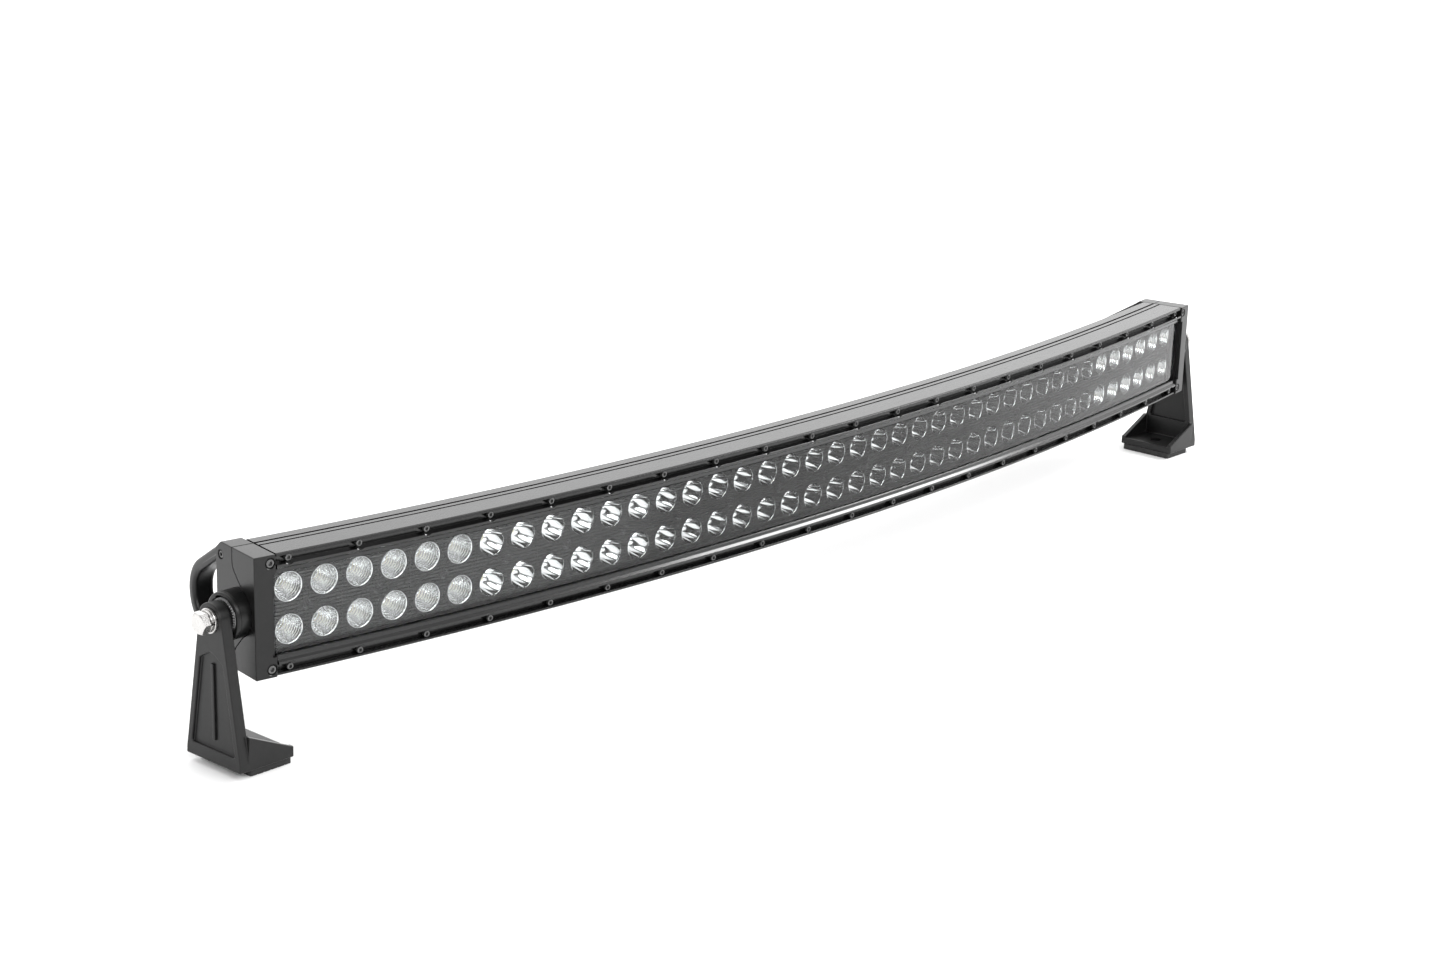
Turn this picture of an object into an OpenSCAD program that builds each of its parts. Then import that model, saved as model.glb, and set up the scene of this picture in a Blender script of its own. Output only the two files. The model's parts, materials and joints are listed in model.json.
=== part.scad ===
// Curved dual-row LED light bar on two tilting end brackets.
// Millimetres. +X runs along the bar, +Y to its finned back, +Z up.
// The origin lies on the mounting surface, under the middle of the tilt axis.
// A section shape is drawn as [depth, height]: depth 0 is the plane of the reflector faces,
// positive depth is forward of it, and height 0 is the middle of the bar.

/* [Curve] */
// Radius of the bar's curve, measured at the reflector faces
curve_r = 3108; // [2400:1:6000]
// Number of reflector modules along the bar, each with two columns of LEDs
modules = 20; // [10:2:20]
// Distance between two columns of LEDs along the curve
led_pitch = 25.6; // [25.2:0.1:27]

/* [Section] */
// Height of the bar
bar_h = 79; // [76:1:80]
// Depth of the section in front of the reflector faces
front_depth = 9.6; // [9.6:0.1:11]
// Distance between the two rows of LEDs
row_gap = 27.6; // [27:0.1:28]
// Radius of one reflector's mouth
mouth_r = 9.5; // [8:0.1:9.8]
// Depth of a reflector from its face to the LED
cup_depth = 15.8; // [15:0.1:16]
// Thickness of one cooling fin
fin_t = 1.8; // [1.2:0.1:2.4]
// Distance between two cooling fins
fin_pitch = 5; // [4:0.25:6]

/* [Rails] */
// Distance between two screws on a clamping rail
rail_screw_pitch = 50.3; // [48:0.1:51]
// Height of the rail screws above the middle of the bar
rail_screw_z = 35.3; // [35:0.1:35.5]

/* [Ends] */
// Thickness of the end castings along the bar
end_t = 15; // [13:0.5:18]
// Radius of the rear loop's rounded back
loop_r = 26; // [24:0.5:27]
// Width of the rear loop's bar
loop_bar = 8; // [8:0.5:12]
// Radius of the pivot hub
hub_r = 15.5; // [15:0.5:16]
// Distance that the pivot hub stands out from the end casting
hub_out = 13; // [11:0.5:16]
// Number of serrations on a pivot face
teeth = 40; // [24:4:48]

/* [Brackets] */
// Height of the tilt axis above the mounting surface
axis_h = 98; // [90:1:120]
// Thickness of a bracket's arm
arm_t = 8; // [6:0.5:10]
// Radius of a bracket's rounded head
head_r = 11; // [11:0.5:13]
// Width of a bracket at its base
base_w = 52; // [46:1:60]
// Length of a bracket's foot under the bar
foot_len = 34; // [32:1:40]
// Radius of the hole for the mounting bolt
foot_hole_r = 5; // [4:0.25:5.5]
// Thickness of the rubber foot pad
pad_t = 5; // [4:0.5:7]

/* [Hidden] */
half_h = bar_h / 2;
half_len = modules * led_pitch;        // half of the extrusion's length along the curve
seal_t = 1;                            // end gasket thickness
cap_start = half_len + seal_t;
cap_end = cap_start + end_t;
curve_fn = 1440;                       // fine enough that a chord and its arc agree
round_fn = 48;
gap = 0.1;

// Depths of the layers behind and in front of the reflector faces
face_t = 2;
board_front = -17;
board_t = 1.6;
floor_front = board_front - board_t;
floor_t = 5.4;
wall_back = floor_front - floor_t;
rail_seat = 2.5;
groove_floor = 5.5;
lip_front = 8.5;
lens_back = 0.8;
lens_flange = 3.4;
lens_front = 5.8;
lens_t = 3;
ledge = -0.7;

// Heights of the layers in the upper half of the section
cavity_z = 27.2;
pocket_z = 30.4;
window_z = 26.2;
lip_t = 2;
skin_t = 2.5;
skin_back = -27;
channel_w = 2.8;
channel_back = -8;
trough_z = [8, 14];
trough_back = -22;

// Rear outline: straight tangents from the flat back edges to a round back
loop_c = [-50, -2.5];
loop_corner = 32;
fin_inset = 11.5;
opening_front = 38;
port_w = 7;
port_hole = 3.2;
ports = [[-32, 31], [-31.5, -34], [-29.5, -25.5]];
seam = [[-17.5, half_h], [-17.5, 27], [-9, 18.5], [0.5, 10], [0.5, -10],
        [-9, -18.5], [-17.5, -27], [-17.5, -half_h]];
seam_gap = 0.2;

// Reflector modules
module_len = 2 * led_pitch;
module_gap = 0.3;
face_half_z = 26.8;
cup_wall = 1.2;
cup_steps = 6;
led_w = 5;
led_h = 1;
dome_r = 2.2;
board_modules = modules / 5;
board_gap = 0.25;                      // thermal paste behind an LED board

// Fasteners
rail_screws = 2 * floor((half_len - 8) / rail_screw_pitch) + 1;
rail_head_r = 2;
rail_head_h = 2.1;
rail_shank_r = 1.2;
boss_r = 3.6;
lip_relief_r = 2.4;
screw_seat = groove_floor - 0.1;
corner_s = cap_start + 3.6;
corner_z = 34.2;
module_screw_r = 1.25;
module_head_r = 2.4;
bolt_r = 4;
bolt_len = 25;
bolt_head_r = 7.5;
bolt_head_h = 5.3;
washer_t = 1.6;
spring_t = 2.2;

// Tilt axis and bracket places along X
hub_depth = -10;
cap_angle = cap_end / curve_r * 180 / PI;
axis_y = curve_r - (curve_r + hub_depth) * cos(cap_angle);
// Where the hub leaves the casting's inner side, clear of the end gasket
hub_root = (curve_r + hub_r) * sin(cap_start / curve_r * 180 / PI) + 1;
hub_face = (curve_r + hub_depth) * sin(cap_angle) + hub_out;
tooth_h = 0.8;
insert_r = 12;
insert_depth = 7;
insert_sink = 0.5;
tooth_gap = 0.4;
arm_in = hub_face - insert_sink + 2 * tooth_h + tooth_gap;
arm_out = arm_in + arm_t;
washer_in = arm_out + gap;
spring_in = washer_in + washer_t;
head_in = spring_in + spring_t;
plate_t = 5.5;
foot_hole_x = arm_in - 18;
pad_size = [32, 47];
gusset_t = 4;
gusset_h = 22;

// Gland and vent on the back of the housing
outlet_s = 0.92 * half_len;
pocket_half = [14, 12.3];
gland_bore_r = 3.25;
gland_back = 18;

function two(n) = n < 10 ? str("0", n) : str(n);
function reflector_name(i) = str("reflector_", two(i));
function module_s(i) = (i - (modules + 1) / 2) * module_len;
function led_s(i) = (i - (2 * modules + 1) / 2) * led_pitch;
function screw_s(k) = (k - (rail_screws - 1) / 2) * rail_screw_pitch;
function cup_r(d) = mouth_r * sqrt(1 - d / (cup_depth + 3));
// Point where a line from p touches a circle at c of radius r, on the side given by turn
function tangent(p, c, r, turn) =
    let (v = p - c, a = atan2(v[1], v[0]) + turn * acos(r / norm(v)))
    c + r * [cos(a), sin(a)];

// ---- placing -------------------------------------------------------------------------------

// Moves a shape from the bar's own frame to the row frame
module on_axis() {
    translate([0, -axis_y, axis_h]) children();
}

// Sweeps a section along the curve between two arc distances from the middle
module sweep(from, to) {
    on_axis()
        translate([0, curve_r, 0])
            rotate([0, 0, from / curve_r * 180 / PI - 90])
                rotate_extrude(angle = (to - from) / curve_r * 180 / PI, $fn = curve_fn)
                    translate([curve_r, 0]) children();
}

// Stands a shape on the curve: its +Z points forward, out of the bar's face
module facing(s, z, depth) {
    on_axis()
        translate([0, curve_r, 0])
            rotate([0, 0, s / curve_r * 180 / PI])
                translate([0, -curve_r - depth, z])
                    rotate([90, 0, 0]) children();
}

// Lays a shape along the curve: its +Z points along the bar, away from the middle
module endwise(s, z, depth) {
    on_axis()
        translate([0, curve_r, 0])
            rotate([0, 0, s / curve_r * 180 / PI])
                translate([0, -curve_r - depth, z])
                    rotate([0, 90, 0]) children();
}

// Lays a shape along the right-hand tilt axis from a place x: its +Z points outwards
module pivot(x) {
    translate([x, 0, axis_h]) rotate([0, 90, 0]) children();
}

module left() {
    mirror([1, 0, 0]) children();
}

// Polygon of a section from the points of its upper half, which run on into the lower half
module whole(points) {
    polygon(concat(points,
                   [for (k = [len(points) - 1:-1:0]) [points[k][0], -points[k][1]]]));
}

// ---- section shapes ------------------------------------------------------------------------

// Shape with straight sides from two corners, tangent to a round back of radius r,
// and with a flat front
module tangent_outline(r, top, low, front) {
    translate(loop_c) circle(r = r, $fn = 96);
    polygon([[front, top[1]], top, tangent(top, loop_c, r, 1), loop_c,
             tangent(low, loop_c, r, -1), low, [front, low[1]]]);
}

// Opening inside the rear loop
module loop_opening() {
    tangent_outline(loop_r - loop_bar, [-opening_front - 0.1, half_h - 8.5],
                    [-opening_front - 2, -half_h + 6], -opening_front);
}

// Front walls, floor and flat skins of the housing
module walls() {
    whole([[floor_front, cavity_z], [ledge, cavity_z], [ledge, pocket_z],
           [rail_seat, pocket_z], [rail_seat, half_h - lip_t], [lip_front, half_h - lip_t],
           [lip_front, half_h - 0.5], [lip_front - 1.2, half_h], [skin_back, half_h],
           [skin_back - 5, half_h - 3.5], [skin_back - 3, half_h - 4.5],
           [skin_back, half_h - skin_t], [wall_back, half_h - skin_t]]);
}

// Cooling fins, cut to the shape that the rear loop leaves free
module fins() {
    count = floor((half_h - 6) / fin_pitch);
    intersection() {
        tangent_outline(loop_r - fin_inset, [-loop_corner - 4, half_h - 5],
                        [-loop_corner - 6, -half_h + 5], wall_back + 1);
        for (k = [-count:count])
            translate([-80, k * fin_pitch - fin_t / 2]) square([80.5 + wall_back, fin_t]);
    }
}

module housing_section() {
    difference() {
        union() {
            walls();
            fins();
            for (p = ports) translate(p - [port_w / 2, port_w / 2]) square(port_w);
        }
        for (z = [-rail_screw_z, rail_screw_z])
            translate([channel_back, z - channel_w / 2])
                square([rail_seat - channel_back + 1, channel_w]);
        translate([trough_back, trough_z[0]])
            square([floor_front - trough_back + 1, trough_z[1] - trough_z[0]]);
        for (p = ports) translate(p - [port_hole / 2, port_hole / 2]) square(port_hole);
    }
}

// Upper half of a clamping rail: a flat foot in the screw groove and a sloped inner strip
module rail_section() {
    polygon([[rail_seat, half_h - lip_t - gap], [groove_floor, half_h - lip_t - gap],
             [groove_floor, 32.4], [9.0, 32.1], [9.4, 31.2], [7.3, window_z + 0.5],
             [6.6, window_z + gap], [lens_flange, window_z + gap], [lens_flange, 30.2],
             [rail_seat, 30.2]]);
}

// Lens: a raised window and a flange that the rails clamp
module lens_section() {
    whole([[lens_front - lens_t, window_z - 1.4], [lens_back, window_z - 0.4], [lens_back, 29.9],
           [lens_flange, 29.9], [lens_flange, window_z], [lens_front - 0.6, window_z],
           [lens_front, window_z - 0.6]]);
}

module end_section() {
    difference() {
        tangent_outline(loop_r, [-loop_corner, half_h], [-loop_corner - 5, -half_h], front_depth);
        loop_opening();
    }
}

// Part of the end section in front of the seam, grown by an amount
module front_part(grow) {
    polygon(concat([for (p = seam) p - [grow, 0]],
                   [[front_depth + 1, -half_h - 1], [front_depth + 1, half_h + 1]]));
}

// ---- sub-parts -----------------------------------------------------------------------------

module housing() {
    color([0.09, 0.09, 0.10]) difference() {
        sweep(-half_len, half_len) housing_section();
        for (i = [1:modules])
            facing(module_s(i), 0, floor_front - 4.4) cylinder(r = 1.3, h = 5, $fn = 24);
        for (k = [0:rail_screws - 1], z = [-rail_screw_z, rail_screw_z])
            facing(screw_s(k), z, screw_seat - gap) cylinder(r = lip_relief_r, h = 8, $fn = 32);
        for (s = [-outlet_s, outlet_s]) {
            facing(s, 0, wall_back - 60)
                translate([-pocket_half[0], -pocket_half[1], 0])
                    cube([2 * pocket_half[0], 2 * pocket_half[1], 60]);
            facing(s, 0, wall_back - 1) cylinder(r = 3.5, h = floor_t + 2, $fn = round_fn);
        }
    }
}

module led_boards() {
    color([0.86, 0.87, 0.84]) difference() {
        for (b = [0:4]) {
            start = -half_len + b * board_modules * module_len;
            sweep(start + 0.4, start + board_modules * module_len - 0.4)
                translate([floor_front + board_gap, -face_half_z])
                    square([board_t - board_gap, 2 * face_half_z]);
        }
        for (i = [1:modules])
            facing(module_s(i), 0, floor_front - 1) cylinder(r = 1.6, h = 4, $fn = 24);
    }
}

module led_emitter() {
    translate([-led_w / 2, -led_w / 2, 0]) cube([led_w, led_w, led_h]);
    translate([0, 0, led_h]) intersection() {
        sphere(r = dome_r, $fn = 32);
        cylinder(r = dome_r + 1, h = dome_r + 1, $fn = 32);
    }
}

module led_emitters() {
    color([0.95, 0.90, 0.55])
        for (i = [1:2 * modules], row = [-1, 1])
            facing(led_s(i), row * row_gap / 2, board_front + 0.02) led_emitter();
}

module supply_wires() {
    color([0.55, 0.05, 0.05])
        for (z = [9.6, 12.4])
            sweep(-half_len + 4, half_len - 4)
                translate([floor_front - 1.6, z]) circle(r = 1.1, $fn = 24);
}

// One bowl with a wall of even thickness, its mouth at z = 0 and its depth towards -Z
module cup() {
    rotate_extrude($fn = round_fn)
        polygon(concat([for (k = [0:cup_steps])
                           let (d = k / cup_steps * (cup_depth - face_t))
                           [cup_r(d + face_t), -d]],
                       [for (k = [cup_steps:-1:0])
                           let (d = k / cup_steps * (cup_depth - face_t))
                           [cup_r(d + face_t) + cup_wall, -d]]));
}

// A flange with four bowls and a middle post that stands on the LED board
module reflector(i) {
    flange_t = 1.4;
    half_x = (module_len - module_gap) / 2 - 0.3;
    half_z = face_half_z - 0.3;
    color([0.80, 0.81, 0.83])
        facing(module_s(i), 0, -face_t - 0.05) difference() {
            union() {
                difference() {
                    translate([-half_x, -half_z, -flange_t])
                        cube([2 * half_x, 2 * half_z, flange_t]);
                    for (x = [-1, 1], z = [-1, 1])
                        translate([x * led_pitch / 2, z * row_gap / 2, -3])
                            cylinder(r = cup_r(face_t) + 0.6, h = 4, $fn = round_fn);
                }
                for (x = [-1, 1], z = [-1, 1])
                    translate([x * led_pitch / 2, z * row_gap / 2, 0]) cup();
                translate([0, 0, board_front + face_t + 0.15])
                    cylinder(r = 3.2, h = -board_front - face_t - 0.15, $fn = 32);
            }
            translate([0, 0, -20]) cylinder(r = 1.6, h = 30, $fn = 24);
        }
}

module reflector_faces() {
    half_x = (module_len - module_gap) / 2;
    color([0.05, 0.05, 0.055])
        for (i = [1:modules])
            facing(module_s(i), 0, -face_t) difference() {
                translate([-half_x, -face_half_z, 0])
                    cube([2 * half_x, 2 * face_half_z, face_t]);
                for (x = [-1, 1], z = [-1, 1])
                    translate([x * led_pitch / 2, z * row_gap / 2, -1])
                        cylinder(r = mouth_r, h = face_t + 2, $fn = round_fn);
                translate([0, 0, -1]) cylinder(r = 1.6, h = 4, $fn = 24);
                translate([0, 0, 0.6]) cylinder(r = module_head_r + 0.4, h = 4, $fn = 32);
            }
}

// Screw with a round head and a hexagon socket, its seat at z = 0 and its shank towards -Z
module socket_screw(head_r, head_h, shank_r, shank_len) {
    difference() {
        cylinder(r = head_r, h = head_h, $fn = 32);
        translate([0, 0, head_h * 0.4]) cylinder(r = head_r * 0.5, h = head_h, $fn = 6);
    }
    translate([0, 0, -shank_len]) cylinder(r = shank_r, h = shank_len, $fn = 24);
}

module reflector_screws() {
    color([0.12, 0.12, 0.13])
        for (i = [1:modules])
            facing(module_s(i), 0, -face_t + 0.6)
                socket_screw(module_head_r, 1.3, module_screw_r, 20.5);
}

module lens_gasket() {
    color([0.16, 0.16, 0.16]) {
        for (z = [-29.8, 27.4])
            sweep(-half_len + 0.2, half_len - 0.2)
                translate([ledge + gap, z]) square([lens_back - ledge - gap, 2.4]);
        for (side = [0, 1])
            mirror([side, 0, 0]) sweep(half_len - 2.2, half_len - 0.2)
                translate([0.1, -27.6]) square([lens_back - 0.1, 55.2]);
    }
}

module front_lens() {
    color([0.80, 0.85, 0.88, 0.35])
        sweep(-half_len + 0.2, half_len - 0.2) lens_section();
}

module rail(side) {
    color([0.10, 0.10, 0.11]) difference() {
        sweep(-half_len + 0.1, half_len - 0.1)
            mirror([0, side > 0 ? 0 : 1]) rail_section();
        for (k = [0:rail_screws - 1]) {
            facing(screw_s(k), side * rail_screw_z, 0) cylinder(r = 1.35, h = 12, $fn = 24);
            facing(screw_s(k), side * rail_screw_z, screw_seat)
                cylinder(r = boss_r, h = 12, $fn = 32);
        }
    }
}

module rail_screw_set(side) {
    color([0.06, 0.06, 0.065])
        for (k = [0:rail_screws - 1])
            facing(screw_s(k), side * rail_screw_z, screw_seat)
                socket_screw(rail_head_r, rail_head_h, rail_shank_r, 11);
}

module end_gasket() {
    color([0.16, 0.16, 0.16]) sweep(half_len + 0.05, cap_start - 0.05) difference() {
        translate([wall_back, -half_h + 1]) square([rail_seat - wall_back, bar_h - 2]);
        translate([floor_front, -face_half_z]) square([20.5, 2 * face_half_z]);
    }
}

module end_cap() {
    color([0.09, 0.09, 0.10]) difference() {
        sweep(cap_start, cap_end) intersection() {
            end_section();
            front_part(0);
        }
        pivot(cap_start - 30) cylinder(r = hub_r + 0.3, h = 60, $fn = 96);
        for (z = [-corner_z, corner_z]) {
            facing(corner_s, z, front_depth - 2.6) cylinder(r = 3.4, h = 6, $fn = 32);
            facing(corner_s, z, front_depth - 13) cylinder(r = 1.35, h = 12, $fn = 24);
        }
    }
}

module end_guard() {
    color([0.10, 0.10, 0.11]) difference() {
        union() {
            sweep(cap_start, cap_end) difference() {
                end_section();
                front_part(seam_gap);
            }
            pivot(hub_root) cylinder(r = hub_r, h = hub_face - hub_root, $fn = 96);
        }
        pivot(hub_face - insert_depth) cylinder(r = insert_r + 0.2, h = 20, $fn = 96);
        pivot(hub_face - insert_depth - 8) cylinder(r = bolt_r + 0.3, h = 20, $fn = round_fn);
        for (p = ports) {
            endwise(cap_end - 2.6, p[1], p[0]) cylinder(r = 3, h = 8, $fn = 32);
            endwise(cap_start - 4, p[1], p[0]) cylinder(r = 1.5, h = 30, $fn = 24);
        }
    }
}

module end_cap_screws() {
    color([0.06, 0.06, 0.065])
        for (side = [0, 1], z = [-corner_z, corner_z])
            mirror([side, 0, 0]) facing(corner_s, z, front_depth - 2.6)
                socket_screw(2.4, 2.2, 1.25, 9);
}

module end_guard_screws() {
    color([0.06, 0.06, 0.065])
        for (side = [0, 1], p = ports)
            mirror([side, 0, 0]) endwise(cap_end - 2.6, p[1], p[0])
                socket_screw(2.4, 2.2, 1.4, end_t + 8);
}

// Ring of radial teeth on the plane z = 0, between two radii
module tooth_ring(r_in, r_out) {
    half = 0.9 * r_in * sin(180 / teeth);
    for (k = [0:teeth - 1])
        rotate([0, 0, k * 360 / teeth])
            translate([r_in, 0, 0])
                rotate([90, 0, 90])
                    linear_extrude(height = r_out - r_in)
                        polygon([[-half, -0.2], [half, -0.2], [half, 0], [0, tooth_h], [-half, 0]]);
}

module hub_insert() {
    color([0.30, 0.30, 0.31]) difference() {
        union() {
            pivot(hub_face - insert_depth + gap)
                cylinder(r = insert_r, h = insert_depth - gap - insert_sink, $fn = 96);
            pivot(hub_face - insert_sink) tooth_ring(6, 11.4);
        }
        pivot(hub_face - insert_depth - 1) cylinder(r = bolt_r + 0.05, h = 20, $fn = round_fn);
    }
}

module cable_gland() {
    color([0.05, 0.05, 0.05])
        facing(outlet_s, 0, wall_back - gland_back) difference() {
            union() {
                cylinder(r1 = 6.4, r2 = 7.6, h = 3, $fn = round_fn);
                translate([0, 0, 3]) cylinder(r = 7.6, h = 5, $fn = round_fn);
                translate([0, 0, 8]) cylinder(r = 9.4, h = 6, $fn = 6);
                translate([0, 0, 14]) cylinder(r = 8.5, h = gland_back - 14 - gap, $fn = round_fn);
            }
            translate([0, 0, -1]) cylinder(r = gland_bore_r, h = gland_back + 2, $fn = round_fn);
        }
}

module breather_vent() {
    color([0.05, 0.05, 0.05])
        facing(-outlet_s, 0, wall_back - 6) {
            cylinder(r1 = 6.2, r2 = 7, h = 1.2, $fn = round_fn);
            translate([0, 0, 1.2]) cylinder(r = 7, h = 2.6, $fn = round_fn);
            translate([0, 0, 3.8]) cylinder(r = 7.6, h = 2.1, $fn = 6);
        }
}

// Outline of a bracket's arm, seen along X: straight sides tangent to a round head
module arm_outline(inset) {
    head = [0, axis_h];
    low = base_w / 2 - inset;
    r = head_r - inset;
    right_foot = [low, pad_t];
    left_foot = [-low, pad_t];
    translate(head) circle(r = r, $fn = 64);
    polygon([left_foot, right_foot, [low, pad_t + plate_t],
             tangent([low, pad_t + plate_t], head, r, 1), head,
             tangent([-low, pad_t + plate_t], head, r, -1), [-low, pad_t + plate_t]]);
}

// Extrudes an outline drawn as [y, z] along X between two places
module along_x(from, to) {
    translate([from, 0, 0]) rotate([90, 0, 90]) linear_extrude(height = to - from) children();
}

module bracket() {
    tip = arm_in - foot_len;
    color([0.08, 0.08, 0.085]) difference() {
        union() {
            along_x(arm_in, arm_out) arm_outline(0);
            translate([tip, -base_w / 2, pad_t]) cube([foot_len + 1, base_w, plate_t]);
            for (y = [-base_w / 2, base_w / 2 - gusset_t])
                translate([0, y + gusset_t, 0]) rotate([90, 0, 0])
                    linear_extrude(height = gusset_t)
                        polygon([[tip, pad_t + 1], [arm_in + 1, pad_t + 1],
                                 [arm_in + 1, pad_t + gusset_h], [arm_in, pad_t + gusset_h],
                                 [tip, pad_t + plate_t + 2]]);
            mirror([1, 0, 0]) pivot(-arm_in) tooth_ring(6, 10.6);
        }
        pivot(arm_in - 5) cylinder(r = bolt_r + gap, h = arm_t + 10, $fn = round_fn);
        along_x(arm_in - 1, arm_in + 3) intersection() {
            arm_outline(4.5);
            polygon([[-40, 30], [40, 30], [40, 70], [0, 76], [-40, 70]]);
        }
        along_x(arm_out - 2, arm_out + 1) intersection() {
            arm_outline(4.5);
            translate([-40, 14]) square([80, 62]);
        }
        translate([foot_hole_x, 0, pad_t - 1])
            cylinder(r = foot_hole_r, h = plate_t + 3, $fn = round_fn);
    }
}

module foot_pad() {
    groove = 1;
    nx = 6;
    ny = 8;
    low = [foot_hole_x - pad_size[0] / 2, -pad_size[1] / 2];
    color([0.07, 0.07, 0.07]) difference() {
        translate([low[0], low[1], 0]) cube([pad_size[0], pad_size[1], pad_t - 0.05]);
        for (k = [1:nx - 1])
            translate([low[0] + k * pad_size[0] / nx - groove / 2, low[1] - 1, -1])
                cube([groove, pad_size[1] + 2, 2]);
        for (k = [1:ny - 1])
            translate([low[0] - 1, low[1] + k * pad_size[1] / ny - groove / 2, -1])
                cube([pad_size[0] + 2, groove, 2]);
        translate([foot_hole_x, 0, -1]) cylinder(r = foot_hole_r, h = pad_t + 2, $fn = round_fn);
    }
}

module pivot_bolt() {
    color([0.72, 0.71, 0.69]) {
        pivot(head_in + gap) cylinder(r = bolt_head_r, h = bolt_head_h, $fn = 6);
        pivot(head_in - bolt_len) cylinder(r = bolt_r, h = bolt_len + 1, $fn = round_fn);
    }
}

module spring_washer() {
    color([0.72, 0.71, 0.69]) pivot(spring_in + gap)
        rotate_extrude(angle = 345, $fn = 72)
            translate([bolt_r + gap, 0]) square([3.1, spring_t - gap]);
}

module flat_washer() {
    color([0.75, 0.74, 0.72]) pivot(washer_in) difference() {
        cylinder(r = 8, h = washer_t, $fn = 64);
        translate([0, 0, -1]) cylinder(r = bolt_r + 0.2, h = washer_t + 2, $fn = round_fn);
    }
}

// ---- the part ------------------------------------------------------------------------------

housing();
led_boards();
led_emitters();
supply_wires();
for (i = [1:modules])
    reflector(i);
reflector_faces();
reflector_screws();
lens_gasket();
front_lens();
rail(1);  // upper_rail
rail(-1);  // lower_rail
rail_screw_set(1);  // upper_rail_screws
rail_screw_set(-1);  // lower_rail_screws
left() end_gasket();  // left_end_gasket
end_gasket();  // right_end_gasket
left() end_cap();  // left_end_cap
end_cap();  // right_end_cap
left() end_guard();  // left_end_guard
end_guard();  // right_end_guard
end_cap_screws();
end_guard_screws();
left() hub_insert();  // left_hub_insert
hub_insert();  // right_hub_insert
cable_gland();
breather_vent();
left() bracket();  // left_bracket
bracket();  // right_bracket
left() foot_pad();  // left_foot_pad
foot_pad();  // right_foot_pad
left() pivot_bolt();  // left_pivot_bolt
pivot_bolt();  // right_pivot_bolt
left() spring_washer();  // left_spring_washer
spring_washer();  // right_spring_washer
left() flat_washer();  // left_flat_washer
flat_washer();  // right_flat_washer
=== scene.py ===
"""Looks of a curved dual-row LED light bar on two tilting brackets.

Shapes are built in millimetres in the row frame, and a mesh is scaled to metres when it is made.
A section point is (depth, height): depth 0 is the plane of the reflector faces, positive forward,
and height 0 is the middle of the bar. A place on the bar adds the arc distance from its middle.
"""

import json
import math
import random

import bmesh
import bpy
import numpy as np
from mathutils import Matrix, Vector


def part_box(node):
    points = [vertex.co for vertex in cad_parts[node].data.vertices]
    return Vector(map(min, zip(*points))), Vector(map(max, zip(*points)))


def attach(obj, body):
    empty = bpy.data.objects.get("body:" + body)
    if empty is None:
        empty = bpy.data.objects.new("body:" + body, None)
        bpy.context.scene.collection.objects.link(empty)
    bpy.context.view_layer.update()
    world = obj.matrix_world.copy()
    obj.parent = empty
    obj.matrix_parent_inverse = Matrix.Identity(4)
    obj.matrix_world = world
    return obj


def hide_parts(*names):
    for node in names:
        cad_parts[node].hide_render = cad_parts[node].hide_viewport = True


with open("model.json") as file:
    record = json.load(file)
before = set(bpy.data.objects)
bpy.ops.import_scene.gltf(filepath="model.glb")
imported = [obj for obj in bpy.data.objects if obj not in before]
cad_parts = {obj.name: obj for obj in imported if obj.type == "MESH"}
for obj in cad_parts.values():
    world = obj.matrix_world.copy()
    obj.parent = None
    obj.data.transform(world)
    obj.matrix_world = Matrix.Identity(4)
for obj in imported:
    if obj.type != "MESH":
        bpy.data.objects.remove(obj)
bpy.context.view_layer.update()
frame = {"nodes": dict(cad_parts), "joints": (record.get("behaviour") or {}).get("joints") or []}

MM = 0.001
SEED = 7

# Driving dimensions, as in the part's source
CURVE_R = 3108.0
MODULES = 20
LED_PITCH = 25.6
ROW_GAP = 27.6
MOUTH_R = 9.5
CUP_DEPTH = 15.8
FLOOD_MODULES = 3
FINS = 13
FIN_PITCH = 5.0
FIN_T = 1.8
RAIL_SCREW_PITCH = 50.3
RAIL_SCREW_Z = 35.3
HUB_R = 15.5
HUB_DEPTH = -10.0
TEETH = 40
TOOTH_H = 0.8
PAD_T = 5.0
PLATE_T = 5.5
ARM_T = 8.0
FOOT_HOLE_R = 5

# Derived lengths along the curve
MODULE_LEN = 2 * LED_PITCH
HALF_LEN = MODULES * LED_PITCH
CAP_START = HALF_LEN + 1
CAP_END = CAP_START + 15
OUTLET_S = 0.92 * HALF_LEN
SWEEP_STEP = LED_PITCH / 2

# Depths and heights of the section. The floor of the rails' grooves is deeper than the CAD model's.
HALF_H = 39.5
LIP_Z = HALF_H - 2
FRONT = 9.6
FACE_BACK = -2.0
MODULE_SCREW_SEAT = -1.4
BOARD_FRONT = -17.0
FLOOR_FRONT = -18.6
WALL_BACK = -24.0
RAIL_SEAT = 2.5
GROOVE_FLOOR = 3.6
SCREW_SEAT = 5.4
LIP_FRONT = 8.5
LENS_FRONT = 5.8
WINDOW_Z = 26.2
SKIN_BACK = -27.0
BOWL_FLOOR = CUP_DEPTH - 0.3
PORTS = ((-32.0, 31.0), (-31.5, -34.0), (-29.5, -25.5))

# Rear loop, the corners where it leaves the guard, and the fins' limit round the loop's centre
LOOP_C = (-50.0, -2.5)
LOOP_R = 26.0
LOOP_BAR = 8.0
FIN_R = 14.5
GUARD_TOP_BACK = -32.0
GUARD_LOW_BACK = -37.0

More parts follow.
